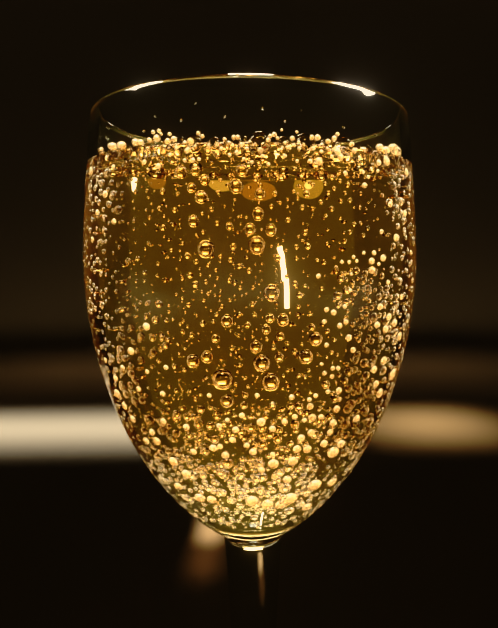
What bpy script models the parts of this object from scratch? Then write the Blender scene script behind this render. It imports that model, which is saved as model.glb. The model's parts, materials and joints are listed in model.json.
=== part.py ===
"""A stemmed wine glass filled with sparkling moscato, with froth on the wine.

Metres, +Z up. The origin is at the middle of the foot's underside, and +Z runs up the stem.
"""

import math
import random

import bmesh
import bpy
from mathutils import Matrix

# Bowl
GLASS_HEIGHT = 0.170
RIM_RADIUS = 0.0336
BELLY_RADIUS = 0.0366
BELLY_HEIGHT = 0.138
BOWL_END_HEIGHT = 0.071
BOWL_ROUNDNESS = 0.645
RIM_DRAW_IN = 1.4
WALL = 0.0019
INSIDE_BOTTOM_HEIGHT = 0.0785
INSIDE_ROUNDNESS = 0.56

# Stem and foot
STEM_WAIST_RADIUS = 0.0056
STEM_WAIST_HEIGHT = 0.028
STEM_TOP_RADIUS = 0.0075
STEM_TOP_HEIGHT = 0.074
STEM_FILLET_POWER = 4
FLARE_TOP_HEIGHT = 0.0204
FLARE_POWER = 3.4
FOOT_RADIUS = 0.034
FOOT_EDGE_RADIUS = 0.0011
FOOT_RING_WIDTH = 0.007
FOOT_HOLLOW = 0.0015

# Wine and froth
WINE_LEVEL = 0.1583
GAP = 0.0003
FROTH_BED = 0.0006
FROTH_CLIMB = 0.0012
FROTH_CLIMB_WIDTH = 0.008
SINK_IN_BED = 0.0003
FROTH_SEED = 11
WALL_BUBBLES = 84
MIDDLE_BUBBLES = 20
LARGEST_BUBBLE = 0.0023
SMALLEST_BUBBLE = 0.0008
BUBBLE_OVERLAP = 0.12
BUBBLE_TRIES = 4000

# Fineness of the faceted solids
TURNS = 52
BOWL_POINTS = 17
STEM_POINTS = 9
FLARE_POINTS = 7
RIM_POINTS = 4
WINE_POINTS = 14
DOME_SIDES = 8
DOME_RINGS = 3
MERGE = 0.00005


def stem_radius(z):
    """The stem widens from its waist to its top by the square of the height."""
    rise = (min(z, STEM_TOP_HEIGHT) - STEM_WAIST_HEIGHT) / (STEM_TOP_HEIGHT - STEM_WAIST_HEIGHT)
    return STEM_WAIST_RADIUS + (STEM_TOP_RADIUS - STEM_WAIST_RADIUS) * max(0.0, rise) ** 2


def outer_radius(z):
    """The outside of bowl and stem, which meet in a fillet: their radii add by a high power."""
    if z >= BELLY_HEIGHT:
        rise = (z - BELLY_HEIGHT) / (GLASS_HEIGHT - BELLY_HEIGHT)
        return BELLY_RADIUS - (BELLY_RADIUS - RIM_RADIUS) * rise**RIM_DRAW_IN
    drop = min(1.0, (BELLY_HEIGHT - z) / (BELLY_HEIGHT - BOWL_END_HEIGHT))
    bowl = BELLY_RADIUS * (1 - drop**2) ** BOWL_ROUNDNESS
    power = STEM_FILLET_POWER
    return (bowl**power + stem_radius(z) ** power) ** (1 / power)


def inner_radius(z):
    """The inside of the bowl, which is rounder and ends higher than the outside."""
    if z >= BELLY_HEIGHT:
        return outer_radius(z) - WALL
    drop = min(1.0, (BELLY_HEIGHT - z) / (BELLY_HEIGHT - INSIDE_BOTTOM_HEIGHT))
    return (BELLY_RADIUS - WALL) * (1 - drop**2) ** INSIDE_ROUNDNESS


def falling_heights(high, low, count):
    """Heights from high down to low, closer together towards low, where the bowl turns in."""
    quarter = math.pi / 2
    return [high - (high - low) * math.sin(quarter * i / (count - 1)) for i in range(count)]


def bowl_inside(top, count, clearance=0.0):
    """Points down the inside of the bowl from the height top to the axis, moved in by clearance."""
    floor = INSIDE_BOTTOM_HEIGHT + clearance
    heights = falling_heights(top, floor, count)
    side = [(inner_radius(z) - clearance, z) for z in heights[:-1]]
    return side + [(0.0, floor)]


def rim():
    """The rounded rim, from the inside over the top to the outside."""
    half_wall = WALL / 2
    points = []
    for i in range(1, RIM_POINTS + 1):
        angle = math.pi * (1 - i / (RIM_POINTS + 1))
        across = RIM_RADIUS - half_wall + half_wall * math.cos(angle)
        points.append((across, GLASS_HEIGHT - half_wall + half_wall * math.sin(angle)))
    return points


def stem():
    """Points down the stem, closer together under the bowl, where its side is curved."""
    points = []
    for i in range(1, STEM_POINTS):
        share = 1 - math.cos(math.pi / 2 * i / STEM_POINTS)
        z = STEM_TOP_HEIGHT - (STEM_TOP_HEIGHT - FLARE_TOP_HEIGHT) * share
        points.append((outer_radius(z), z))
    return points


def foot():
    """The flare from the stem to the foot's round edge, then the ring it rests on and its hollow."""
    points = []
    flare_end = 2 * FOOT_EDGE_RADIUS
    spread = FOOT_RADIUS - FOOT_EDGE_RADIUS - STEM_WAIST_RADIUS
    for i in range(FLARE_POINTS + 1):
        share = (i / FLARE_POINTS) ** 1.5
        height = flare_end + (FLARE_TOP_HEIGHT - flare_end) * (1 - share)
        points.append((STEM_WAIST_RADIUS + spread * share**FLARE_POWER, height))
    for degrees in (45, 0, -45, -90):
        angle = math.radians(degrees)
        across = FOOT_RADIUS - FOOT_EDGE_RADIUS + FOOT_EDGE_RADIUS * math.cos(angle)
        points.append((across, FOOT_EDGE_RADIUS + FOOT_EDGE_RADIUS * math.sin(angle)))
    ring_inside = FOOT_RADIUS - FOOT_RING_WIDTH
    for share in (1.0, 0.9, 0.7, 0.4, 0.0):
        points.append((ring_inside * share, FOOT_HOLLOW * (1 - share**2)))
    return points


def glass_outline():
    """From the floor of the bowl up its inside, over the rim and down to the foot's underside."""
    rim_side = GLASS_HEIGHT - WALL / 2
    inside = bowl_inside(rim_side, BOWL_POINTS)[::-1]
    heights = falling_heights(rim_side, STEM_TOP_HEIGHT, BOWL_POINTS)
    return inside + rim() + [(outer_radius(z), z) for z in heights] + stem() + foot()


def wine_outline():
    """The wine's flat top, then its side a gap clear of the glass, down to the axis."""
    return [(0.0, WINE_LEVEL)] + bowl_inside(WINE_LEVEL, WINE_POINTS, GAP)


def bed_top(radius):
    """The froth's bed is flat, and climbs a little where it meets the glass."""
    to_wall = inner_radius(WINE_LEVEL) - radius
    climb = max(0.0, 1 - to_wall / FROTH_CLIMB_WIDTH) ** 2
    return WINE_LEVEL + GAP + FROTH_BED + FROTH_CLIMB * climb


def bed_outline():
    """The thin bed that joins the froth's bubbles, from the axis over its edge and back."""
    edge = inner_radius(WINE_LEVEL + GAP + FROTH_BED + FROTH_CLIMB) - GAP
    turn_in = edge - FROTH_CLIMB_WIDTH
    radii = [0.0] + [turn_in + FROTH_CLIMB_WIDTH * share for share in (0.0, 0.6, 1.0)]
    top = [(r, bed_top(r)) for r in radii]
    low = WINE_LEVEL + GAP
    return top + [(edge, low), (0.0, low)]


def turned(name, outline, collection):
    """A solid of revolution from an outline of (radius, height) points."""
    mesh = bpy.data.meshes.new(name)
    edges = [(i, i + 1) for i in range(len(outline) - 1)]
    mesh.from_pydata([(r, 0.0, z) for r, z in outline], edges, [])
    body = bpy.data.objects.new(name, mesh)
    collection.objects.link(body)
    screw = body.modifiers.new("turn", "SCREW")
    screw.steps = TURNS
    screw.render_steps = TURNS
    screw.use_merge_vertices = True
    screw.merge_threshold = MERGE
    screw.use_smooth_shade = True
    return body


def bubble_places():
    """(x, y, radius) of each bubble, drawn at random and kept where it hardly overlaps another.

    The large ones come first. Most lie in a collar at the wall, and the rest drift in the middle.
    """
    draw = random.Random(FROTH_SEED)
    wall = inner_radius(WINE_LEVEL) - 2 * GAP
    reach = 1 - BUBBLE_OVERLAP
    placed = []
    for count, in_collar in ((WALL_BUBBLES, True), (MIDDLE_BUBBLES, False)):
        for i in range(count):
            small_share = i / count
            spread = (LARGEST_BUBBLE - SMALLEST_BUBBLE) * (1 - small_share) ** 2
            for _ in range(BUBBLE_TRIES):
                radius = SMALLEST_BUBBLE + spread * draw.uniform(0.6, 1.0)
                turn = draw.uniform(0, 2 * math.pi)
                inward = abs(draw.gauss(0, 0.0006 + 0.0035 * small_share))
                out = wall - radius - inward
                if not in_collar:
                    out = out * math.sqrt(draw.random())
                x = out * math.cos(turn)
                y = out * math.sin(turn)
                if all(math.hypot(x - a, y - b) > (radius + c) * reach for a, b, c in placed):
                    placed.append((x, y, radius))
                    break
    return placed


def dome(name, x, y, radius, collection):
    """Half of a bubble, with its flat base sunk a little into the bed."""
    half = bmesh.new()
    bmesh.ops.create_uvsphere(half, u_segments=DOME_SIDES, v_segments=2 * DOME_RINGS, radius=radius)
    everything = half.verts[:] + half.edges[:] + half.faces[:]
    bmesh.ops.bisect_plane(half, geom=everything, plane_no=(0, 0, -1), clear_outer=True, dist=MERGE)
    bmesh.ops.holes_fill(half, edges=[edge for edge in half.edges if edge.is_boundary])
    bmesh.ops.recalc_face_normals(half, faces=half.faces)
    place = Matrix.Translation((x, y, bed_top(math.hypot(x, y)) - SINK_IN_BED))
    turn = Matrix.Rotation(math.atan2(y, x), 4, "Z")
    bmesh.ops.transform(half, matrix=place @ turn, verts=half.verts)
    mesh = bpy.data.meshes.new(name)
    half.to_mesh(mesh)
    half.free()
    piece = bpy.data.objects.new(name, mesh)
    collection.objects.link(piece)
    return piece


def froth(collection, loose):
    """The bed and its bubbles, joined to one solid."""
    bed = turned("froth", bed_outline(), collection)
    domes = [dome(f"dome_{i}", *place, loose) for i, place in enumerate(bubble_places())]
    union = bed.modifiers.new("bubbles", "BOOLEAN")
    union.operation = "UNION"
    union.operand_type = "COLLECTION"
    union.collection = loose
    union.solver = "MANIFOLD"
    bpy.context.view_layer.update()
    evaluated = bed.evaluated_get(bpy.context.evaluated_depsgraph_get())
    joined = bpy.data.meshes.new_from_object(evaluated)
    bed.modifiers.clear()
    bed.data = joined
    for piece in domes:
        bpy.data.objects.remove(piece)
    return bed


def finish(body, name, colour, roughness, transmission):
    """Gives a piece its own plain material."""
    material = bpy.data.materials.new(name)
    material.use_nodes = True
    shader = material.node_tree.nodes["Principled BSDF"]
    shader.inputs["Base Color"].default_value = (*colour, 1.0)
    shader.inputs["Roughness"].default_value = roughness
    shader.inputs["Metallic"].default_value = 0.0
    shader.inputs["Transmission Weight"].default_value = transmission
    body.data.materials.clear()
    body.data.materials.append(material)


def main():
    """Clears the scene and builds the three pieces."""
    for old in list(bpy.data.objects):
        bpy.data.objects.remove(old)
    pieces = bpy.data.collections.new("glass_of_moscato")
    loose = bpy.data.collections.new("loose_bubbles")
    for collection in (pieces, loose):
        bpy.context.scene.collection.children.link(collection)
    glass = turned("glass", glass_outline(), pieces)
    wine = turned("wine", wine_outline(), pieces)
    foam = froth(pieces, loose)
    finish(glass, "clear_glass", (0.95, 0.97, 0.96), roughness=0.03, transmission=1.0)
    finish(wine, "moscato", (0.80, 0.52, 0.13), roughness=0.05, transmission=0.9)
    finish(foam, "froth", (0.96, 0.88, 0.66), roughness=0.25, transmission=0.5)


main()
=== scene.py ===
import json
import math
import random
from itertools import product

import bmesh
import bpy
import numpy as np
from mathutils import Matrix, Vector

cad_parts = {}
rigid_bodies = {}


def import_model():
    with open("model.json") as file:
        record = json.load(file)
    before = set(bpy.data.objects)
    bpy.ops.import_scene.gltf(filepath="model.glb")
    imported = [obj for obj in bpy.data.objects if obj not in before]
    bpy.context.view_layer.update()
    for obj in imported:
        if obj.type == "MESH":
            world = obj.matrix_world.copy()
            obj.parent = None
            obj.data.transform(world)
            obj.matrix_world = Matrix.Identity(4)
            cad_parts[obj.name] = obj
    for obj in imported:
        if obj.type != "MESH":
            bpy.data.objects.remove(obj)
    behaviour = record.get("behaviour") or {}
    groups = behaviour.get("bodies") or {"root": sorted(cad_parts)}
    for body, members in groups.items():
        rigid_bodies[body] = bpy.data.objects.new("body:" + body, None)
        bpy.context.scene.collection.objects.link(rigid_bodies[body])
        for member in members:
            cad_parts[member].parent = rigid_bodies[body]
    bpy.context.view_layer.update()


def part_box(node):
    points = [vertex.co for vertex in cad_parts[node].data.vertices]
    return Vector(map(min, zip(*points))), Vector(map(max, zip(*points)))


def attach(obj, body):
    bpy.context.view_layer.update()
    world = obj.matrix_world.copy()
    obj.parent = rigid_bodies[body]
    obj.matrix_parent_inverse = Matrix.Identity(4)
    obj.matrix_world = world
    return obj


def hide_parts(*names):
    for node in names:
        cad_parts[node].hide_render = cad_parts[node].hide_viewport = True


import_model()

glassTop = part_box("glass")[1].z
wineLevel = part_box("wine")[1].z
mm = 0.001
weld = 1e-6    # points closer than this are one


def linear(hexColour):
    # sRGB hex to the linear values that the shader sockets take
    channels = [int(hexColour[i:i + 2], 16) / 255 for i in (0, 2, 4)]
    return [c / 12.92 if c <= 0.04045 else ((c + 0.055) / 1.055) ** 2.4 for c in channels] + [1.0]


def addNode(tree, kind, settings=None, values=None, links=None):
    # one node with its settings, socket values and incoming links
    node = tree.nodes.new(kind)
    for name, value in (settings or {}).items():
        setattr(node, name, value)
    for socket, value in (values or {}).items():
        node.inputs[socket].default_value = value
    for socket, source in (links or {}).items():
        tree.links.new(source, node.inputs[socket])
    return node


def newMaterial(name):
    material = bpy.data.materials.new(name)
    material.use_nodes = True
    material.node_tree.nodes.clear()
    return material, material.node_tree


def addObject(name, data):
    thing = bpy.data.objects.new(name, data)
    bpy.context.scene.collection.objects.link(thing)
    return thing


def meshObject(name, bm):
    mesh = bpy.data.meshes.new(name)
    bm.to_mesh(mesh)
    bm.free()
    mesh.shade_smooth()
    return addObject(name, mesh)


# camera
camera = {
    "distance": 0.115,          # from the glass's axis
    "belowRim": 25.4 * mm,      # eye height under the rim
    "pitch": 8.7,               # degrees down
    "yaw": 2.1,                 # degrees towards +X
    "focalPixels": 495,
    "frameWidth": 498,
    "frameHeight": 628,
    "opticalX": 270,            # pixel column of the optical axis
    "sensor": 36,
    "nearest": 0.005,
    "farthest": 20,
}


def addCamera():
    data = bpy.data.cameras.new("camera")
    data.sensor_width = camera["sensor"]
    data.lens = camera["focalPixels"] / camera["frameHeight"] * camera["sensor"]
    data.shift_x = -(camera["opticalX"] - camera["frameWidth"] / 2) / camera["frameHeight"]
    data.clip_start = camera["nearest"]
    data.clip_end = camera["farthest"]
    eye = addObject("camera", data)
    eye.location = (0, -camera["distance"], glassTop - camera["belowRim"])
    eye.rotation_euler = (math.radians(90 - camera["pitch"]), 0, math.radians(-camera["yaw"]))
    bpy.context.scene.camera = eye
    bpy.context.view_layer.update()
    return eye


eye = addCamera()
print("camera")

# glass
glass = {
    "height": glassTop,
    "rimRadius": 33.6 * mm,
    "bellyRadius": 36.6 * mm,
    "bellyHeight": 138 * mm,
    "bowlEnd": 71 * mm,         # where the outside would close if there were no stem
    "roundness": 0.645,         # power of the curve under the belly: 0.5 is an ellipse
    "drawIn": 1.4,              # power of the curve from the belly to the rim
    "wall": 1.9 * mm,
    "insideBottom": 78.5 * mm,
    "insideRoundness": 0.56,
    "stemWaist": 5.6 * mm,      # radius of the stem where it is thinnest
    "stemWaistHeight": 28 * mm,
    "stemTop": 7.5 * mm,
    "stemTopHeight": 74 * mm,
    "filletPower": 4,           # how tightly the stem blends into the bowl
    "flareTop": 20.4 * mm,
    "flarePower": 3.4,
    "footRadius": 34 * mm,
    "footEdge": 1.1 * mm,       # radius of the rounded edge
    "footRing": 7 * mm,         # width of the ring that the foot stands on
    "footHollow": 1.5 * mm,
    "turns": 256,
    "bowlSteps": 60,            # points along each part of the outline
    "stemSteps": 24,
    "flareSteps": 28,
    "flareSpacing": 1.5,
    "roundSteps": 12,
}


def stemRadius(z):
    span = glass["stemTopHeight"] - glass["stemWaistHeight"]
    rise = max(0, (min(z, glass["stemTopHeight"]) - glass["stemWaistHeight"]) / span)
    return glass["stemWaist"] + (glass["stemTop"] - glass["stemWaist"]) * rise ** 2


def outerRadius(z):
    belly = glass["bellyRadius"]
    if z >= glass["bellyHeight"]:
        rise = (z - glass["bellyHeight"]) / (glass["height"] - glass["bellyHeight"])
        return belly - (belly - glass["rimRadius"]) * rise ** glass["drawIn"]
    drop = min(1, (glass["bellyHeight"] - z) / (glass["bellyHeight"] - glass["bowlEnd"]))
    bowl = belly * (1 - drop ** 2) ** glass["roundness"]
    power = glass["filletPower"]
    return (bowl ** power + stemRadius(z) ** power) ** (1 / power)


def innerRadius(z):
    if z >= glass["bellyHeight"]:
        return outerRadius(z) - glass["wall"]
    drop = min(1, (glass["bellyHeight"] - z) / (glass["bellyHeight"] - glass["insideBottom"]))
    return (glass["bellyRadius"] - glass["wall"]) * (1 - drop ** 2) ** glass["insideRoundness"]


def fallingHeights(high, low, count):
    # closer together towards low, where the bowl turns in
    return [high - (high - low) * math.sin(math.pi / 2 * i / (count - 1)) for i in range(count)]


def bowlInside(top, count, outwards=0.0):
    # down the inside of the bowl to the axis, moved outwards into the wall
    bottom = glass["insideBottom"]
    heights = fallingHeights(top, bottom - outwards, count)[:-1]
    return [(innerRadius(max(z, bottom)) + outwards, z) for z in heights] + [(0, bottom - outwards)]


def halfRound(r, z, radius, fromAngle):
    # half a turn clockwise round an edge, without its ends
    steps = glass["roundSteps"]
    angles = [fromAngle - math.pi * i / steps for i in range(1, steps)]
    return [(r + radius * math.cos(angle), z + radius * math.sin(angle)) for angle in angles]


def turned(name, outline, steps):
    bm = bmesh.new()
    verts = [bm.verts.new((r, 0, z)) for r, z in outline]
    for a, b in zip(verts, verts[1:]):
        bm.edges.new((a, b))
    bmesh.ops.spin(bm, geom=bm.verts[:] + bm.edges[:], cent=(0, 0, 0), axis=(0, 0, 1),
                   angle=2 * math.pi, steps=steps, use_merge=True, dvec=(0, 0, 0))
    bmesh.ops.remove_doubles(bm, verts=bm.verts[:], dist=weld)
    bmesh.ops.recalc_face_normals(bm, faces=bm.faces[:])
    return meshObject(name, bm)


def glassOutline():
    # up the inside, over the rim, down the outside and stem, and under the foot
    half = glass["wall"] / 2
    rimSide = glass["height"] - half
    stemTop, flareTop = glass["stemTopHeight"], glass["flareTop"]
    edge = glass["footEdge"]
    points = bowlInside(rimSide, glass["bowlSteps"])[::-1]
    points += halfRound(glass["rimRadius"] - half, rimSide, half, math.pi)
    points += [(outerRadius(z), z) for z in fallingHeights(rimSide, stemTop, glass["bowlSteps"])]
    for i in range(1, glass["stemSteps"]):
        share = 1 - math.cos(math.pi / 2 * i / glass["stemSteps"])
        z = stemTop - (stemTop - flareTop) * share
        points.append((outerRadius(z), z))
    spread = glass["footRadius"] - edge - glass["stemWaist"]
    for i in range(glass["flareSteps"] + 1):
        share = (i / glass["flareSteps"]) ** glass["flareSpacing"]
        points.append((glass["stemWaist"] + spread * share ** glass["flarePower"],
                       2 * edge + (flareTop - 2 * edge) * (1 - share)))
    points += halfRound(glass["footRadius"] - edge, edge, edge, math.pi / 2)
    points.append((glass["footRadius"] - edge, 0))
    ring = glass["footRadius"] - glass["footRing"]
    for i in range(glass["roundSteps"] + 1):
        share = 1 - i / glass["roundSteps"]
        points.append((ring * share, glass["footHollow"] * (1 - share ** 2)))
    return points


def clearGlass():
    # soda-lime glass, pressed and fire polished: clear, hardly green, with a faint waviness
    material, tree = newMaterial("sodaLimeGlass")
    place = addNode(tree, "ShaderNodeTexCoord")
    wave = addNode(tree, "ShaderNodeTexNoise", values={"Scale": 1 / (18 * mm), "Detail": 1.0},
                   links={"Vector": place.outputs["Object"]})
    bump = addNode(tree, "ShaderNodeBump", values={"Strength": 0.10, "Distance": 0.05 * mm},
                   links={"Height": wave.outputs["Fac"]})
    smear = addNode(tree, "ShaderNodeMapRange",
                    values={"From Min": 0.55, "From Max": 0.8, "To Min": 0.0, "To Max": 0.004},
                    links={"Value": wave.outputs["Fac"]})
    surface = addNode(tree, "ShaderNodeBsdfGlass", values={"Color": linear("fbfdfb"), "IOR": 1.52},
                      links={"Roughness": smear.outputs["Result"],
                             "Normal": bump.outputs["Normal"]})
    addNode(tree, "ShaderNodeOutputMaterial", links={"Surface": surface.outputs["BSDF"]})
    return material


def makeGlass():
    piece = turned("wineGlass", glassOutline(), glass["turns"])
    piece.data.materials.append(clearGlass())
    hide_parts("glass")
    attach(piece, "root")


makeGlass()
print("glass")

# wine
wine = {
    "level": wineLevel,
    "intoWall": 0.06 * mm,      # so that no air shows between wine and glass
    "climb": 1.2 * mm,          # of the meniscus at the wall
    "climbWidth": 3.5 * mm,
    "climbFall": 2.4,           # how fast it falls across that width
    "flatRings": (0.4, 0.7),    # shares of the radius
    "climbSteps": 14,
    "climbSpacing": 1.3,
    "climbReach": 1.5,          # how many of its widths the steps cover
    "sideSteps": 56,
    "turns": 192,
    "ior": 1.345,
    "absorption": "f3deb8",
    "density": 40,
}


def wineTop(radius):
    # flat, and climbing where it meets the glass
    toWall = innerRadius(wine["level"]) - radius
    fall = max(0, toWall) / wine["climbWidth"] * wine["climbFall"]
    return wine["level"] + wine["climb"] * math.exp(-fall)


def wineOutline():
    wall = innerRadius(wine["level"])
    edge = wine["level"] + wine["climb"]
    radii = [wall * share for share in wine["flatRings"]]
    for i in range(wine["climbSteps"]):
        share = (1 - i / wine["climbSteps"]) ** wine["climbSpacing"]
        radii.append(wall - wine["climbWidth"] * share * wine["climbReach"])
    top = [(0, wine["level"])] + [(r, wineTop(r)) for r in radii] + [(innerRadius(edge), edge)]
    return top + bowlInside(edge, wine["sideSteps"], wine["intoWall"])


def moscato():
    # sweet white wine, filtered bright: golden only by its depth
    material, tree = newMaterial("moscatoWine")
    place = addNode(tree, "ShaderNodeTexCoord")
    ripple = addNode(tree, "ShaderNodeTexNoise", values={"Scale": 1 / (14 * mm), "Detail": 1.0},
                     links={"Vector": place.outputs["Object"]})
    bump = addNode(tree, "ShaderNodeBump", values={"Strength": 0.1, "Distance": 0.02 * mm},
                   links={"Height": ripple.outputs["Fac"]})
    surface = addNode(tree, "ShaderNodeBsdfGlass",
                      values={"Color": (1, 1, 1, 1), "IOR": wine["ior"], "Roughness": 0.0},
                      links={"Normal": bump.outputs["Normal"]})
    volume = addNode(tree, "ShaderNodeVolumeAbsorption",
                     values={"Color": linear(wine["absorption"]), "Density": wine["density"]})
    addNode(tree, "ShaderNodeOutputMaterial",
            links={"Surface": surface.outputs["BSDF"], "Volume": volume.outputs["Volume"]})
    return material


def makeWine():
    piece = turned("moscatoWine", wineOutline(), wine["turns"])
    piece.data.materials.append(moscato())
    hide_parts("wine")
    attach(piece, "root")
    return piece


winePiece = makeWine()
print("wine")

# places on the wall, and many balls as one mesh
search = {
    "from": 0.5,                # shares of the camera's distance
    "reach": 0.5,
    "steps": 400,
    "slopeOver": 0.2 * mm,
}


def wallSlope(z):
    step = search["slopeOver"]
    return (innerRadius(z + step) - innerRadius(z - step)) / (2 * step)


def wallPoint(azimuth, z, inwards):
    # a point inside the wine, the distance inwards from the wall along its normal
    normal = Vector((-1, wallSlope(z))).normalized()
    r = innerRadius(z) + normal.x * inwards
    return Vector((r * math.cos(azimuth), r * math.sin(azimuth), z + normal.y * inwards))


def throughPixel(x, y, diameter):
    # where the line of sight through that pixel meets the wall, and a ball's real radius there
    way = eye.matrix_world.to_3x3() @ Vector((x - camera["opticalX"], camera["frameHeight"] / 2 - y,
                                              -camera["focalPixels"]))
    unit = camera["distance"] / camera["focalPixels"]
    near = search["from"]
    for _ in range(search["steps"]):
        near += search["reach"] / search["steps"]
        point = eye.location + way * unit * near
        if math.hypot(point.x, point.y) < innerRadius(max(point.z, glass["insideBottom"] + mm)):
            break
    return math.atan2(point.y, point.x), point.z, diameter / 2 * unit * near


def ballTemplate(fineness):
    bm = bmesh.new()
    bmesh.ops.create_icosphere(bm, subdivisions=fineness, radius=1.0)
    verts = np.array([v.co for v in bm.verts])
    faces = np.array([[v.index for v in f.verts] for f in bm.faces])
    bm.free()
    return verts, faces


def joinedBalls(name, places, fineness, squash=0.0, seed=1):
    # one mesh of many balls: places holds (x, y, z, radius)
    verts, faces = ballTemplate(fineness)
    places = np.array(places)
    draw = np.random.default_rng(seed)
    stretch = 1 + squash * draw.uniform(-1, 1, (len(places), 1, 3))
    allVerts = places[:, None, :3] + verts[None] * places[:, None, 3:] * stretch
    allFaces = faces[None] + (np.arange(len(places)) * len(verts))[:, None, None]
    mesh = bpy.data.meshes.new(name)
    mesh.from_pydata(allVerts.reshape(-1, 3).tolist(), [], allFaces.reshape(-1, 3).tolist())
    mesh.shade_smooth()
    return addObject(name, mesh)


# froth
# (x, y, width) of the domes along the front of the wine, in pixels of the frame
frontDomes = [
    (193, 143, 20), (214, 145, 15), (237, 143, 13), (260, 144, 26), (283, 142, 15), (307, 143, 23),
    (328, 145, 16), (346, 146, 22), (366, 151, 13), (150, 148, 13), (168, 144, 14), (158, 153, 11),
    (177, 149, 12), (97, 153, 10), (106, 151, 10), (116, 149, 10), (127, 148, 11), (139, 147, 12),
    (378, 150, 10), (387, 149, 10), (396, 151, 10), (403, 154, 9), (224, 140, 9), (272, 139, 8),
    (294, 139, 9), (336, 141, 8), (204, 140, 8),
]

froth = {
    "seed": 11,
    "top": 161.6 * mm,          # nothing reaches higher
    "film": 0.04 * mm,
    "filmBelow": 0.1 * mm,      # how far the films reach into the wine
    "fineness": 3,
    "smallFineness": 2,
    "smallUnder": 0.7 * mm,
    "front": {
        "fromWall": 0.98,       # shares of the radius
        "rise": 0.5,
        "apart": 0.97,
    },
    "tiny": {
        "count": 150,
        "tries": 12,            # times the count
        "radii": (0.16, 0.48),  # in mm
        "waves": (3, 8),        # of the drifts round the wall
        "waveStart": 1,
        "waveEdge": 0.2,
        "offWall": 0.1 * mm,
        "spread": 1.0,
        "heap": 1.6,
        "apart": 0.98,
    },
    "floating": {
        "atWall": 170,
        "middle": 40,
        "tries": 3000,
        "smallest": 0.22 * mm,  # radii
        "largest": 1.5 * mm,
        "fewLarge": 2.4,
        "vary": (0.6, 1),
        "offWall": 0.05 * mm,
        "spread": 0.8,          # from the wall in mm, and how much more for the smallest
        "spreadMore": 3.2,
        "apart": 1.01,
        "sunk": 0.12,           # share of the radius that the middle lies below the wine
    },
}


def addIfApart(placed, place, share):
    # adds the ball unless it cuts too deep into another
    x, y, z, radius = place
    if all((Vector((x, y, z)) - Vector(p[:3])).length > (radius + p[3]) * share for p in placed):
        placed.append(place)


def frontFroth(placed, wall):
    front = froth["front"]
    for x, y, width in frontDomes:
        azimuth, z, radius = throughPixel(x, y, width)
        out = wall - radius * front["fromWall"]
        z = min(z, froth["top"] - radius, wineTop(out) + front["rise"] * radius)
        place = (out * math.cos(azimuth), out * math.sin(azimuth), z, radius)
        addIfApart(placed, place, front["apart"])


def tinyFroth(placed, wall, draw):
    # tiny ones heaped between the domes along the wall
    tiny = froth["tiny"]
    slow, fast = tiny["waves"]
    for _ in range(tiny["count"] * tiny["tries"]):
        radius = draw.uniform(*tiny["radii"]) * mm
        turn = draw.uniform(-math.pi, math.pi)
        drift = math.sin(slow * turn + tiny["waveStart"]) + math.sin(fast * turn)
        if drift < tiny["waveEdge"] * draw.uniform(-1, 1):
            continue
        out = wall - radius - tiny["offWall"] - abs(draw.gauss(0, tiny["spread"])) * mm
        z = min(froth["top"] - radius, wineTop(out) + draw.uniform(0, tiny["heap"]) * mm)
        place = (out * math.cos(turn), out * math.sin(turn), z, radius)
        addIfApart(placed, place, tiny["apart"])
        if len(placed) > len(frontDomes) + tiny["count"]:
            break


def floatingFroth(placed, wall, draw, count, atWall):
    # the largest first, so that the small ones fill in between them
    floating = froth["floating"]
    span = floating["largest"] - floating["smallest"]
    for i in range(count):
        share = i / count
        for _ in range(floating["tries"]):
            larger = (1 - share) ** floating["fewLarge"]
            radius = floating["smallest"] + span * larger * draw.uniform(*floating["vary"])
            spread = (floating["spread"] + floating["spreadMore"] * share) * mm
            out = wall - radius - floating["offWall"] - abs(draw.gauss(0, spread))
            if not atWall:
                out *= math.sqrt(draw.random())
            turn = draw.uniform(-math.pi, math.pi)
            x, y = out * math.cos(turn), out * math.sin(turn)
            if all(math.hypot(x - a, y - b) > (radius + c) * floating["apart"]
                   for a, b, _, c in placed):
                placed.append((x, y, wineTop(out) - floating["sunk"] * radius, radius))
                break


def frothPlaces():
    draw = random.Random(froth["seed"])
    wall = innerRadius(wine["level"])
    placed = []
    frontFroth(placed, wall)
    tinyFroth(placed, wall, draw)
    floatingFroth(placed, wall, draw, froth["floating"]["atWall"], True)
    floatingFroth(placed, wall, draw, froth["floating"]["middle"], False)
    return placed


def wineFilm():
    # the film of wine over a bubble that floats: hardly there but for its edge
    material, tree = newMaterial("wineFilm")
    place = addNode(tree, "ShaderNodeTexCoord")
    drain = addNode(tree, "ShaderNodeTexNoise", values={"Scale": 1 / (1.5 * mm), "Distortion": 0.5},
                    links={"Vector": place.outputs["Object"]})
    tint = addNode(tree, "ShaderNodeValToRGB", links={"Fac": drain.outputs["Fac"]})
    tint.color_ramp.elements[0].color = linear("fff6e0")
    tint.color_ramp.elements[1].color = linear("ffffff")
    surface = addNode(tree, "ShaderNodeBsdfGlass", values={"IOR": wine["ior"], "Roughness": 0.0},
                      links={"Color": tint.outputs["Color"]})
    addNode(tree, "ShaderNodeOutputMaterial", links={"Surface": surface.outputs["BSDF"]})
    return material


def hollowWine(places):
    # takes the froth's bubbles out of the top of the wine
    hollow = joinedBalls("hollows", places, froth["fineness"])
    cut = winePiece.modifiers.new("hollows", "BOOLEAN")
    cut.operation = "DIFFERENCE"
    cut.object = hollow
    cut.solver = "MANIFOLD"
    bpy.context.view_layer.update()
    done = winePiece.evaluated_get(bpy.context.evaluated_depsgraph_get())
    carved = bpy.data.meshes.new_from_object(done)
    winePiece.modifiers.clear()
    winePiece.data = carved
    carved.shade_smooth()
    bpy.data.objects.remove(hollow)
    print("wine faces", len(carved.polygons))


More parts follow.
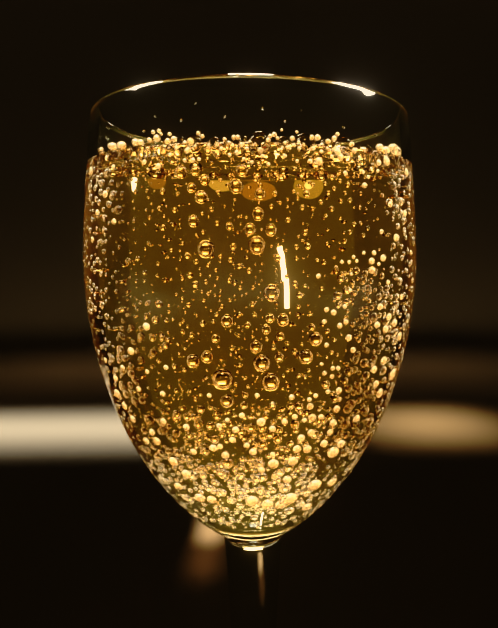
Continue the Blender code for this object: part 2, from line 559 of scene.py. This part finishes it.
def addCap(bm, x, y, z, radius):
    # the part of a ball that stands above the wine
    cap = bmesh.new()
    fineness = froth["fineness"] if radius > froth["smallUnder"] else froth["smallFineness"]
    bmesh.ops.create_icosphere(cap, subdivisions=fineness, radius=radius)
    level = wineTop(math.hypot(x, y)) - z - froth["filmBelow"]
    bmesh.ops.bisect_plane(cap, geom=cap.verts[:] + cap.edges[:] + cap.faces[:], dist=weld,
                           plane_co=(0, 0, level), plane_no=(0, 0, -1), clear_outer=True)
    bmesh.ops.translate(cap, vec=(x, y, z), verts=cap.verts[:])
    mesh = bpy.data.meshes.new("cap")
    cap.to_mesh(mesh)
    cap.free()
    bm.from_mesh(mesh)
    bpy.data.meshes.remove(mesh)


def makeFroth():
    places = frothPlaces()
    hollowWine(places)
    bm = bmesh.new()
    for place in places:
        addCap(bm, *place)
    bmesh.ops.solidify(bm, geom=bm.faces[:], thickness=froth["film"])
    piece = meshObject("frothFilms", bm)
    print("froth faces", len(piece.data.polygons))
    piece.data.materials.append(wineFilm())
    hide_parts("froth")
    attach(piece, "root")
    return places


frothBalls = makeFroth()
print("froth")

# fine foam that clings to the glass in single beads
# (x, y, diameter) in pixels of the frame
foamBeads = [
    (123, 146, 8), (137, 143, 7), (142, 143, 6), (114, 147, 8), (97, 150, 6), (158, 139, 7),
    (151, 141, 5), (169, 142, 6), (175, 140, 6), (191, 142, 7), (186, 144, 5), (166, 148, 5),
    (234, 138, 5), (238, 138, 5), (118, 168, 5), (112, 160, 5), (98, 173, 9), (237, 154, 5),
    (150, 150, 6), (281, 131, 3), (268, 141, 5), (274, 135, 5), (285, 144, 5), (292, 139, 5),
    (296, 133, 3), (311, 138, 5), (317, 138, 6), (336, 135, 4), (327, 142, 5), (333, 139, 5),
    (260, 151, 7), (318, 162, 8), (309, 162, 5), (336, 153, 7), (339, 158, 7), (350, 145, 5),
    (362, 151, 7), (378, 148, 7), (384, 151, 8), (391, 148, 7), (395, 155, 7), (401, 151, 9),
    (375, 164, 6), (383, 163, 8), (368, 170, 4), (374, 172, 4), (360, 173, 4), (365, 178, 4),
    (400, 174, 8), (362, 186, 6), (343, 174, 5), (380, 258, 7), (369, 261, 7), (370, 270, 8),
    (375, 264, 4), (340, 262, 4), (347, 262, 4), (354, 261, 4), (351, 257, 4), (361, 253, 4),
    (371, 253, 5), (377, 306, 7), (385, 316, 7), (390, 322, 8), (374, 324, 7), (382, 328, 8),
    (394, 335, 9), (401, 336, 8), (401, 346, 9), (398, 359, 10), (380, 359, 9), (387, 372, 12),
    (371, 368, 8), (372, 382, 8), (375, 391, 10), (337, 389, 7), (309, 405, 7), (308, 398, 5),
    (351, 349, 6), (347, 337, 7), (344, 321, 5), (338, 325, 6), (332, 312, 6), (325, 309, 5),
    (323, 321, 5), (325, 344, 5), (343, 306, 5), (349, 274, 4), (348, 290, 4), (317, 276, 5),
    (331, 367, 5), (336, 367, 5), (323, 372, 5), (330, 375, 5), (320, 363, 4), (353, 416, 8),
    (335, 407, 7), (380, 409, 7), (373, 417, 6), (326, 390, 5), (314, 394, 5), (405, 280, 6),
    (406, 320, 7), (210, 394, 5), (257, 394, 5), (291, 396, 6), (272, 402, 4), (284, 420, 6),
    (303, 418, 5), (166, 419, 7), (228, 418, 5), (242, 414, 6), (220, 424, 6), (188, 425, 7),
    (337, 397, 5), (272, 427, 7), (310, 431, 8), (300, 436, 8), (365, 431, 8), (253, 450, 8),
    (247, 443, 6), (272, 452, 6), (273, 462, 11), (292, 459, 10), (296, 447, 9), (306, 447, 9),
    (331, 450, 13), (338, 441, 9), (322, 441, 8), (226, 453, 8), (214, 446, 8), (195, 449, 7),
    (176, 458, 10), (160, 438, 9), (151, 437, 8), (156, 429, 7), (138, 416, 8), (130, 403, 8),
    (142, 387, 6), (123, 391, 10), (189, 470, 10), (183, 480, 9), (203, 492, 11), (214, 494, 10),
    (312, 481, 14), (327, 476, 11), (289, 494, 14), (252, 497, 13), (267, 499, 12), (279, 499, 11),
    (302, 498, 10), (286, 476, 9), (274, 473, 7), (221, 444, 6), (261, 467, 7), (236, 428, 7),
    (233, 438, 7), (261, 421, 9), (294, 415, 6), (311, 416, 8), (319, 415, 6), (331, 421, 8),
    (328, 430, 7), (134, 350, 8), (148, 326, 8), (121, 376, 7), (112, 358, 6), (127, 366, 6),
    (165, 392, 6), (150, 370, 5), (168, 366, 5), (110, 195, 7), (103, 213, 6), (118, 222, 6),
    (99, 240, 6), (405, 196, 6), (399, 214, 7), (386, 205, 6), (392, 238, 8), (378, 232, 5),
    (404, 253, 6), (384, 282, 5), (396, 296, 6), (171, 135, 4), (180, 146, 4), (163, 135, 3),
    (155, 133, 4), (161, 132, 4), (199, 134, 4), (203, 137, 4), (196, 148, 4), (178, 150, 4),
    (188, 152, 5), (186, 161, 4), (194, 161, 5), (200, 160, 4), (172, 156, 4), (147, 163, 5),
    (160, 167, 6), (225, 140, 4), (229, 144, 5), (233, 147, 4), (242, 146, 5), (247, 150, 4),
    (250, 143, 4), (255, 146, 4), (263, 145, 4), (270, 137, 4), (277, 139, 4), (275, 145, 4),
    (280, 151, 4), (288, 149, 5), (293, 147, 4), (298, 143, 4), (298, 150, 4), (303, 146, 5),
    (321, 146, 5), (326, 150, 5), (320, 153, 4), (330, 158, 4), (345, 150, 5), (352, 153, 5),
    (357, 159, 4), (312, 150, 5), (284, 157, 4), (296, 162, 4), (262, 157, 4), (268, 165, 4),
    (244, 160, 4), (252, 163, 4), (230, 156, 4), (222, 150, 4), (217, 146, 5), (210, 147, 5),
]

fineFoam = {
    "grain": 0.5 * mm,
    "milk": 0.60,               # share of the light that it scatters
    "through": 0.35,            # share of that which passes on
    "roughness": 0.30,
    "offWall": 0.03 * mm,
    "fineness": 2,
    "squash": 0.03,
    "seed": 9,
}


def scatteringFoam():
    # a crust of bubbles too fine to see one by one: milky, and rough where light still passes
    material, tree = newMaterial("fineFoam")
    place = addNode(tree, "ShaderNodeTexCoord")
    grain = addNode(tree, "ShaderNodeTexNoise", values={"Scale": 1 / fineFoam["grain"]},
                    links={"Vector": place.outputs["Object"]})
    tint = addNode(tree, "ShaderNodeValToRGB", links={"Fac": grain.outputs["Fac"]})
    tint.color_ramp.elements[0].color = linear("ffe2b0")
    tint.color_ramp.elements[1].color = linear("fffaf0")
    clear = addNode(tree, "ShaderNodeBsdfGlass",
                    values={"IOR": 1 / wine["ior"], "Roughness": fineFoam["roughness"]},
                    links={"Color": tint.outputs["Color"]})
    lit = addNode(tree, "ShaderNodeBsdfDiffuse", links={"Color": tint.outputs["Color"]})
    through = addNode(tree, "ShaderNodeBsdfTranslucent", links={"Color": tint.outputs["Color"]})
    milk = addNode(tree, "ShaderNodeMixShader", values={0: fineFoam["through"]},
                   links={1: lit.outputs["BSDF"], 2: through.outputs["BSDF"]})
    surface = addNode(tree, "ShaderNodeMixShader", values={0: fineFoam["milk"]},
                      links={1: clear.outputs["BSDF"], 2: milk.outputs["Shader"]})
    addNode(tree, "ShaderNodeOutputMaterial", links={"Surface": surface.outputs["Shader"]})
    return material


def makeFoamBeads():
    places = []
    for x, y, diameter in foamBeads:
        azimuth, z, radius = throughPixel(x, y, diameter)
        places.append((*wallPoint(azimuth, z, radius + fineFoam["offWall"]), radius))
    piece = joinedBalls("foamBeads", places, fineFoam["fineness"], fineFoam["squash"],
                        fineFoam["seed"])
    piece.data.materials.append(scatteringFoam())
    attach(piece, "root")
    return places


foamBalls = makeFoamBeads()
print("foam beads")

# bubbles in the wine
# (x, y, diameter) of the bubbles that stand out, in pixels of the frame
standOut = [
    (236, 186, 15), (242, 170, 13), (226, 156, 13), (201, 197, 13), (192, 188, 10), (205, 180, 11),
    (196, 171, 10), (181, 172, 13), (194, 221, 12), (156, 163, 16), (260, 194, 11), (258, 214, 13),
    (250, 229, 12), (271, 230, 12), (265, 171, 16), (246, 171, 14), (205, 249, 18), (257, 245, 18),
    (227, 321, 13), (216, 338, 9), (213, 345, 14), (207, 357, 13), (193, 361, 14), (217, 365, 18),
    (272, 293, 17), (262, 302, 11), (318, 282, 12), (337, 295, 9), (283, 320, 13), (270, 318, 10),
    (266, 329, 10), (265, 339, 9), (280, 336, 9), (256, 347, 13), (277, 346, 11), (279, 357, 10),
    (306, 357, 15), (262, 364, 18), (316, 339, 14), (332, 315, 10), (222, 381, 22), (211, 402, 17),
    (227, 401, 14), (257, 401, 16), (271, 383, 19), (272, 409, 14), (291, 404, 14),
]

# (x, y, half width, half height, count, smallest, largest) of the crowds of larger ones, likewise
crowds = [
    (380, 345, 24, 60, 90, 5, 11), (362, 295, 28, 36, 40, 4, 9), (350, 420, 34, 42, 90, 5, 12),
    (258, 476, 62, 24, 150, 5, 13), (172, 448, 38, 36, 80, 5, 12), (122, 385, 16, 42, 45, 5, 10),
    (285, 430, 45, 26, 70, 5, 11), (106, 185, 12, 34, 26, 5, 10), (400, 185, 10, 36, 34, 5, 10),
    (142, 330, 24, 30, 30, 4, 9), (400, 255, 9, 40, 30, 4, 9), (205, 432, 30, 22, 40, 5, 10),
    (100, 270, 8, 50, 24, 4, 8), (268, 497, 36, 7, 30, 7, 12),
]

bubbles = {
    "seed": 5,
    "lowest": 84 * mm,
    "underTop": 1.5 * mm,       # where crowds and strings end
    "offWall": 0.03 * mm,
    "apart": 1.12,              # share of the two radii that keeps middles apart
    "gap": 0.02 * mm,
    "cell": 4 * mm,             # of the grid that finds neighbours
    "large": 0.75 * mm,         # radii that divide the pieces
    "middle": 0.5 * mm,
    "largeFineness": 3,
    "fineness": 2,
    "squash": 0.03,
    "ior": 1 / wine["ior"],     # gas seen from within the wine
    "haze": 0.22,               # roughness where they crowd
    "crowd": {
        "tries": 3,             # times the count
        "fewLarge": 1.6,
        "nearWall": 3,          # power that keeps most of them near the wall
        "depth": 3,             # in mm
    },
    "skim": {
        "count": 220,
        "radii": (0.15, 0.42),  # in mm
        "spread": 5,
        "below": 0.15 * mm,
        "fall": 1.3 * mm,
    },
    "string": {
        "count": 14,
        "within": 24 * mm,
        "bowlRise": 22,         # how much higher the outermost begin, in mm
        "startOver": 10,
        "radius": 0.11,
        "growth": 0.17,
        "vary": (0.85, 1.15),
        "sway": 0.25 * mm,
        "swayLength": 9 * mm,
        "step": 1.0,
        "stepGrowth": 3.2,
        "stepVary": (0.7, 1.3),
    },
    "scatter": {
        "tries": 22000,
        "underTop": 0.8 * mm,
        "gap": 0.45 * mm,       # between bubbles near the top, none at the bottom
        "usual": (0.55, 0.95),  # diameters in mm
        "fine": (0.30, 0.55),
        "fineShare": 0.35,
        # share above which they are larger, how much less it is at the bottom, and diameters
        "larger": ((0.90, 0.45, (0.95, 1.3)), (0.985, 0.10, (1.3, 2.1))),
        "density": 0.75,
        "topShare": 0.55,
        "lowMore": 0.4,
        "drift": 0.3,
        "driftWaves": ((2, 4.5, 0), (3, -7, 1)),
        "frontMiddle": 0.5,
        "frontEdge": 1.1,
        "backShare": 0.14,      # bubbles at the back to those in front
    },
}


def density(azimuth, z, height):
    # how likely a bubble is kept: by wall area, denser low in the bowl and in drifts round it
    scatter = bubbles["scatter"]
    area = innerRadius(z) * math.hypot(1, wallSlope(z)) / glass["bellyRadius"]
    low = scatter["topShare"] + scatter["lowMore"] * (1 - height) ** 2
    waves = [math.sin(a * azimuth + b * height + c) for a, b, c in scatter["driftWaves"]]
    drift = 1 + scatter["drift"] * waves[0] * waves[1]
    toFront = min(1, max(0, scatter["frontMiddle"] - scatter["frontEdge"] * math.sin(azimuth)))
    seen = scatter["backShare"] + (1 - scatter["backShare"]) * toFront
    return scatter["density"] * area * low * drift * seen


def roomKeeper(taken):
    # a list of bubbles, and a function that adds one to it where there is room
    placed, grid = [], {}

    def cellOf(point):
        return tuple(math.floor(c / bubbles["cell"]) for c in point)

    def fits(point, radius, gap):
        near = product(*((c - 1, c, c + 1) for c in cellOf(point)))
        return all((point - other).length >= (radius + otherRadius) * bubbles["apart"] + gap
                   for cell in near for other, otherRadius in grid.get(cell, ()))

    def keep(point, radius, gap):
        room = fits(point, radius, gap)
        if room:
            placed.append((*point, radius))
            grid.setdefault(cellOf(point), []).append((point, radius))
        return room

    for *place, radius in taken:
        grid.setdefault(cellOf(place), []).append((Vector(place), radius))
    return placed, keep


def crowdBubbles(draw, keep, x, y, halfWidth, halfHeight, count, smallest, largest):
    crowd = bubbles["crowd"]
    for _ in range(count * crowd["tries"]):
        turn, out = draw.uniform(-math.pi, math.pi), math.sqrt(draw.random())
        diameter = smallest + (largest - smallest) * draw.random() ** crowd["fewLarge"]
        azimuth, z, radius = throughPixel(x + halfWidth * out * math.cos(turn),
                                          y + halfHeight * out * math.sin(turn), diameter)
        if bubbles["lowest"] < z < wine["level"] - bubbles["underTop"]:
            depth = draw.random() ** crowd["nearWall"] * crowd["depth"] * mm
            point = wallPoint(azimuth, z, radius + bubbles["offWall"] + depth)
            count -= keep(point, radius, bubbles["gap"])
        if count == 0:
            break


def skimBubbles(draw, keep):
    # small ones caught under the froth
    skim = bubbles["skim"]
    for _ in range(skim["count"]):
        radius = draw.uniform(*skim["radii"]) * mm
        out = innerRadius(wine["level"]) - radius - abs(draw.gauss(0, skim["spread"])) * mm
        if out > 0:
            turn = draw.uniform(-math.pi, math.pi)
            z = wine["level"] - radius - skim["below"] - draw.expovariate(1 / skim["fall"])
            point = Vector((out * math.cos(turn), out * math.sin(turn), z))
            keep(point, radius, bubbles["gap"])


def stringOfBubbles(draw, keep, number):
    # beads that rise from one spot grow and draw apart
    string = bubbles["string"]
    azimuth = draw.uniform(-math.pi, math.pi)
    out = string["within"] * math.sqrt(draw.random())
    z = bubbles["lowest"] + (out / string["within"]) ** 2 * string["bowlRise"] * mm
    z += draw.uniform(0, string["startOver"]) * mm
    while z < wine["level"] - bubbles["underTop"]:
        rise = (z - bubbles["lowest"]) / (wine["level"] - bubbles["lowest"])
        radius = (string["radius"] + string["growth"] * rise) * mm * draw.uniform(*string["vary"])
        sway = out + string["sway"] * math.sin(z / string["swayLength"] + number)
        keep(Vector((sway * math.cos(azimuth), sway * math.sin(azimuth), z)), radius, 0)
        step = string["step"] + string["stepGrowth"] * rise
        z += step * mm * draw.uniform(*string["stepVary"])


def scatteredBubbles(draw, keep):
    scatter = bubbles["scatter"]
    top = wine["level"] - scatter["underTop"]
    for _ in range(scatter["tries"]):
        height = draw.random()
        z = bubbles["lowest"] + (top - bubbles["lowest"]) * height
        azimuth = draw.uniform(-math.pi, math.pi)
        if draw.random() > density(azimuth, z, height):
            continue
        size = draw.random()
        diameter = draw.uniform(*scatter["usual"]) * mm
        if size < scatter["fineShare"]:
            diameter = draw.uniform(*scatter["fine"]) * mm
        for share, lessLow, diameters in scatter["larger"]:
            if size > share - lessLow * (1 - height) ** 3:
                diameter = draw.uniform(*diameters) * mm
        radius = diameter / 2
        point = wallPoint(azimuth, z, radius + bubbles["offWall"])
        keep(point, radius, scatter["gap"] * height)


def bubblePlaces():
    draw = random.Random(bubbles["seed"])
    placed, keep = roomKeeper(frothBalls + foamBalls)
    for x, y, diameter in standOut:
        azimuth, z, radius = throughPixel(x, y, diameter)
        keep(wallPoint(azimuth, z, radius + bubbles["offWall"]), radius, 0)
    for crowd in crowds:
        crowdBubbles(draw, keep, *crowd)
    skimBubbles(draw, keep)
    for number in range(bubbles["string"]["count"]):
        stringOfBubbles(draw, keep, number)
    scatteredBubbles(draw, keep)
    return placed


def gas():
    # carbon dioxide in the wine: a hole in the liquid, so light turns back at its edge
    material, tree = newMaterial("carbonDioxide")
    place = addNode(tree, "ShaderNodeTexCoord")
    cloud = addNode(tree, "ShaderNodeTexNoise", values={"Scale": 1 / (6 * mm), "Detail": 1.0},
                    links={"Vector": place.outputs["Object"]})
    tint = addNode(tree, "ShaderNodeValToRGB", links={"Fac": cloud.outputs["Fac"]})
    tint.color_ramp.elements[0].color = linear("fff2d8")
    tint.color_ramp.elements[1].color = linear("ffffff")
    # crowded ones low in the bowl and at its sides look hazy
    part = addNode(tree, "ShaderNodeSeparateXYZ", links={"Vector": place.outputs["Object"]})
    aside = addNode(tree, "ShaderNodeMath", {"operation": "ABSOLUTE"}, links={0: part.outputs["X"]})
    side = addNode(tree, "ShaderNodeMapRange", {"interpolation_type": "SMOOTHSTEP"},
                   {"From Min": 18 * mm, "From Max": 30 * mm, "To Max": bubbles["haze"]},
                   {"Value": aside.outputs["Value"]})
    low = addNode(tree, "ShaderNodeMapRange", {"interpolation_type": "SMOOTHSTEP"},
                  {"From Min": 112 * mm, "From Max": 92 * mm, "To Max": bubbles["haze"]},
                  {"Value": part.outputs["Z"]})
    haze = addNode(tree, "ShaderNodeMath", {"operation": "MAXIMUM"},
                   links={0: side.outputs["Result"], 1: low.outputs["Result"]})
    surface = addNode(tree, "ShaderNodeBsdfGlass", values={"IOR": bubbles["ior"]},
                      links={"Color": tint.outputs["Color"], "Roughness": haze.outputs["Value"]})
    addNode(tree, "ShaderNodeOutputMaterial", links={"Surface": surface.outputs["BSDF"]})
    return material


def makeBubbles():
    inside = gas()
    places = bubblePlaces()
    large = [p for p in places if p[3] > bubbles["large"]]
    middle = [p for p in places if bubbles["middle"] < p[3] <= bubbles["large"]]
    small = [p for p in places if p[3] <= bubbles["middle"]]
    half = len(small) // 2
    fine, coarse = bubbles["largeFineness"], bubbles["fineness"]
    for name, group, fineness in (("largeBubbles", large, fine), ("middleBubbles", middle, coarse),
                                  ("smallBubblesA", small[:half], coarse),
                                  ("smallBubblesB", small[half:], coarse)):
        piece = joinedBalls(name, group, fineness, bubbles["squash"])
        print(name, len(group), len(piece.data.polygons))
        piece.data.materials.append(inside)
        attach(piece, "root")


makeBubbles()
print("bubbles")

# drops on the glass above the wine
# (x, y, diameter) in pixels of the frame
dropSpots = [
    (197, 105, 2.5), (183, 122, 3), (262, 110, 3.5), (284, 123, 3), (113, 129, 3), (341, 129, 2.5),
    (158, 118, 2), (225, 118, 2.5), (300, 112, 2), (372, 136, 3), (135, 138, 2.5), (98, 142, 3),
    (147, 133, 3), (133, 137, 3),
]

drops = {
    "offWall": 0.8,             # share of the radius
    "fineness": 3,
    "squash": 0.06,
    "seed": 3,
}


def clingingWine():
    # wine left on the glass in flat beads
    material, tree = newMaterial("clingingWine")
    place = addNode(tree, "ShaderNodeTexCoord")
    ripple = addNode(tree, "ShaderNodeTexNoise", values={"Scale": 1 / (0.8 * mm)},
                     links={"Vector": place.outputs["Object"]})
    bump = addNode(tree, "ShaderNodeBump", values={"Strength": 0.2, "Distance": 0.02 * mm},
                   links={"Height": ripple.outputs["Fac"]})
    surface = addNode(tree, "ShaderNodeBsdfGlass",
                      values={"Color": linear("fffaf0"), "IOR": wine["ior"], "Roughness": 0.0},
                      links={"Normal": bump.outputs["Normal"]})
    addNode(tree, "ShaderNodeOutputMaterial", links={"Surface": surface.outputs["BSDF"]})
    return material


def makeDrops():
    places = []
    for x, y, diameter in dropSpots:
        azimuth, z, radius = throughPixel(x, y, diameter)
        places.append((*wallPoint(azimuth, z, radius * drops["offWall"]), radius))
    piece = joinedBalls("wineDrops", places, drops["fineness"], drops["squash"], drops["seed"])
    piece.data.materials.append(clingingWine())
    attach(piece, "root")


makeDrops()
print("drops")

# stage and light
stage = {
    "colour": "d6d1c8",
    "flat": 0.9,                # radius of the level floor
    "curve": 0.7,               # radius of its rise into the wall
    "curveSteps": 24,
    "wall": 1.6,
    "turns": 96,
    "skyColour": "ffe0a0",
    "sky": 0.011,
}


def paintedBoard():
    # matt emulsion rolled on board: no shine, and a fine roller texture
    material, tree = newMaterial("paintedBoard")
    place = addNode(tree, "ShaderNodeTexCoord")
    roller = addNode(tree, "ShaderNodeTexNoise", values={"Scale": 1 / (4 * mm), "Detail": 2.0},
                     links={"Vector": place.outputs["Object"]})
    bump = addNode(tree, "ShaderNodeBump", values={"Strength": 0.15, "Distance": 0.1 * mm},
                   links={"Height": roller.outputs["Fac"]})
    surface = addNode(tree, "ShaderNodeBsdfDiffuse",
                      values={"Color": linear(stage["colour"]), "Roughness": 0.5},
                      links={"Normal": bump.outputs["Normal"]})
    addNode(tree, "ShaderNodeOutputMaterial", links={"Surface": surface.outputs["BSDF"]})
    return material


def makeStage():
    # a round studio sweep: the pale floor turns up into the wall without a corner
    flat, curve, steps = stage["flat"], stage["curve"], stage["curveSteps"]
    outline = [(0, 0)]
    for i in range(steps + 1):
        angle = math.pi / 2 * i / steps
        outline.append((flat + curve * math.sin(angle), curve * (1 - math.cos(angle))))
    outline.append((flat + curve, stage["wall"]))
    floor = turned("floor", outline, stage["turns"])
    floor.data.materials.append(paintedBoard())
    world = bpy.data.worlds.new("studio")
    world.use_nodes = True
    background = world.node_tree.nodes["Background"]
    background.inputs["Color"].default_value = linear(stage["skyColour"])
    background.inputs["Strength"].default_value = stage["sky"]
    bpy.context.scene.world = world


# place, aim, size across and up, radiance, colour, spread in degrees
softboxes = {
    "drink": [
        ((0, 0.52, 0.39), (0, 0, 0.13), 0.06, 0.05, 90.0, "fffaf2", 180),
        ((0, 0.20, 0.004), (0, 0.20, 1), 0.08, 0.07, 60.0, "ffe0a0", 180),
        ((0, 0.34, 0.004), (0, 0.34, 1), 0.14, 0.18, 4.0, "ffd890", 180),
        ((0, 0.62, 0.103), (0, 0, 0.10), 0.62, 0.19, 0.07, "fff478", 180),
        ((0.02, 0.60, 0.110), (0, 0, 0.10), 0.22, 0.16, 0.05, "fff478", 180),
        ((0.34, 0.06, 0.52), (0, 0, 0.12), 0.12, 0.20, 120.0, "fffaf2", 180),
        ((-0.34, 0.06, 0.52), (0, 0, 0.12), 0.12, 0.16, 40.0, "fffaf2", 180),
        ((0, 0.48, 0.018), (0, 0, 0.08), 0.26, 0.03, 0.45, "ffc860", 180),
        ((0.50, 0.36, 0.13), (0, 0, 0.12), 0.44, 0.22, 0.12, "ffb860", 180),
        ((-0.50, 0.36, 0.13), (0, 0, 0.12), 0.44, 0.22, 0.16, "ffb860", 180),
    ],
    "foam": [
        ((-0.05, -0.10, 0.62), (0, 0, 0.13), 0.20, 0.20, 60.0, "fff8ec", 180),
        ((-0.06, 0.34, 0.50), (0, 0, 0.13), 0.20, 0.17, 16.0, "fff4dc", 180),
        ((0.40, 0.02, 0.12), (0, 0, 0.12), 0.24, 0.16, 12.0, "ffdca0", 180),
        ((-0.40, 0.15, 0.05), (0, 0, 0.10), 0.20, 0.12, 6.0, "ffcc80", 180),
        ((0.05, -0.40, 0.03), (0, 0, 0.12), 0.30, 0.05, 14.0, "ffb050", 180),
    ],
    "stage": [
        ((-0.12, 0.252, 0.22), (-0.12, 0.252, 0), 0.25, 0.03, 2.5, "fff6e8", 28),
        ((0.137, 0.252, 0.22), (0.137, 0.252, 0), 0.085, 0.03, 1.7, "ffd8a4", 28),
        ((0, 0.42, 0.25), (0, 0.42, 0), 0.60, 0.03, 0.40, "ffdcb0", 60),
        ((-0.021, 0.121, 0.03), (-0.021, 0.121, 0), 0.004, 0.03, 3.6, "ffd8a8", 40),
        ((-0.022, 0.094, 0.03), (-0.022, 0.094, 0), 0.004, 0.03, 0.45, "ffc890", 50),
        ((0, 0.55, 0.35), (0, 1.10, 0), 1.2, 0.1, 0.30, "ffe8c0", 110),
        ((0, -0.95, 1.2), (0, -0.95, 0), 1.4, 0.8, 0.5, "fff4e4", 40),
        ((0.80, -0.25, 1.0), (0.80, -0.25, 0), 0.8, 0.4, 0.6, "fff4e4", 30),
        ((-0.80, -0.25, 1.0), (-0.80, -0.25, 0), 0.8, 0.4, 0.6, "fff4e4", 30),
    ],
}

# (x, y, across, up, turn, radiance, colour) of the lamps that the full glass draws together
# behind it, in pixels of the frame and degrees
glows = [
    (280, 266.0, 4, 18, 13, 22.0, "fff4e0"), (284, 280.5, 4, 15, 7, 22.0, "fff4e0"),
    (134, 184, 18, 42, 0, 12.0, "fff4e0"), (306, 184, 36, 34, 0, 0.5, "ffd870"),
    (306, 184, 27, 26, 0, 0.8, "ffe080"), (306, 184, 18, 18, 0, 1.2, "ffe890"),
    (305, 183, 10, 10, 0, 1.6, "fff4b0"), (262, 188, 28, 26, 0, 0.4, "ffb450"),
    (262, 188, 20, 18, 0, 0.4, "ffb450"), (262, 188, 12, 11, 0, 0.4, "ffb450"),
    (229, 177, 26, 24, 0, 0.8, "ffdc80"), (229, 177, 18, 17, 0, 1.2, "ffe8a0"),
    (229, 177, 10, 10, 0, 2.0, "fff0c0"), (165, 182, 42, 26, 0, 0.3, "ffb450"),
    (165, 182, 32, 19, 0, 0.3, "ffb450"), (165, 182, 22, 12, 0, 0.3, "ffb450"),
]

# the full glass turns what lies behind it left to right and shrinks it
behindGlass = {
    "middleX": 255,
    "middleY": 209,
    "degreesPerPixel": 0.06,
    "moreAside": 0.00037,
    "pixelsPerDegree": 13.4,    # up and down
    "size": 0.0013,             # metres to a pixel, at that distance
    "away": 1.0,
    "height": 0.150,
    "spread": 180,
}


def addSoftbox(name, place, aim, across, up, radiance, colour, spread):
    data = bpy.data.lights.new(name, "AREA")
    data.shape = "RECTANGLE"
    data.size = across
    data.size_y = up
    data.energy = radiance * math.pi * across * up
    data.color = linear(colour)[:3]
    data.spread = math.radians(spread)
    lamp = addObject(name, data)
    lamp.location = place
    lamp.rotation_euler = (Vector(place) - Vector(aim)).to_track_quat("Z", "Y").to_euler()
    lamp.visible_camera = False
    return lamp


def addGlow(name, x, y, across, up, turn, radiance, colour):
    away, height, size = behindGlass["away"], behindGlass["height"], behindGlass["size"]
    left = behindGlass["middleX"] - x
    bend = behindGlass["degreesPerPixel"] + behindGlass["moreAside"] * abs(left)
    aside = away * math.tan(math.radians(left * bend))
    rise = (behindGlass["middleY"] - y) / behindGlass["pixelsPerDegree"]
    place = Vector((aside, away, height + away * math.tan(math.radians(rise))))
    lamp = addSoftbox(name, place, (0, 0, height), across * size, up * size, radiance, colour,
                      behindGlass["spread"])
    lamp.data.shape = "RECTANGLE" if turn else "ELLIPSE"
    lamp.rotation_euler.rotate_axis("Z", math.radians(turn))
    return lamp


def addLamps():
    # the clear pieces, the foam and the floor each have their own lamps
    drink, foam = bpy.data.collections.new("drink"), bpy.data.collections.new("foam")
    for piece in bpy.data.objects:
        if piece.type == "MESH" and piece.name == "foamBeads":
            foam.objects.link(piece)
        elif piece.type == "MESH" and piece.name != "floor":
            drink.objects.link(piece)
            # light reaches the foam and the floor straight through what is clear
            piece.visible_diffuse = piece.visible_shadow = False
    for i, values in enumerate(softboxes["drink"]):
        addSoftbox(f"sparkle{i}", *values).light_linking.receiver_collection = drink
    for i, values in enumerate(softboxes["foam"]):
        addSoftbox(f"foam{i}", *values).light_linking.receiver_collection = foam
    for i, values in enumerate(softboxes["stage"]):
        addSoftbox(f"stage{i}", *values)
    for i, values in enumerate(glows):
        addGlow(f"glow{i}", *values).light_linking.receiver_collection = drink


makeStage()
addLamps()
scene = bpy.context.scene
scene.view_settings.view_transform = "Standard"
scene.cycles.max_bounces = 32
scene.cycles.transmission_bounces = 32
scene.cycles.glossy_bounces = 12
scene.cycles.diffuse_bounces = 3
scene.cycles.use_denoising = True
print("stage and light")

# the whites lean to cream and the blacks are deep, as on warm film
film = {
    "glow": {"Threshold": 1.0, "Strength": 0.28, "Size": 0.35},
    "whites": (1.0, 0.90, 0.70),
    "shadows": ((0.035, 0.014), (0.10, 0.085)),
}


def addFilm():
    scene.use_nodes = True
    tree = scene.node_tree
    tree.nodes.clear()
    layers = addNode(tree, "CompositorNodeRLayers")
    glow = addNode(tree, "CompositorNodeGlare", {"glare_type": "BLOOM"}, film["glow"],
                   {"Image": layers.outputs["Image"]})
    warm = addNode(tree, "CompositorNodeCurveRGB", links={"Image": glow.outputs["Image"]})
    warm.mapping.extend = "HORIZONTAL"
    for curve, white in zip(warm.mapping.curves, film["whites"]):
        curve.points[-1].location = (1.0, white)
        for shade, value in film["shadows"]:
            curve.points.new(shade, value * white)
    warm.mapping.update()
    addNode(tree, "CompositorNodeComposite", links={"Image": warm.outputs["Image"]})


addFilm()
print("film")
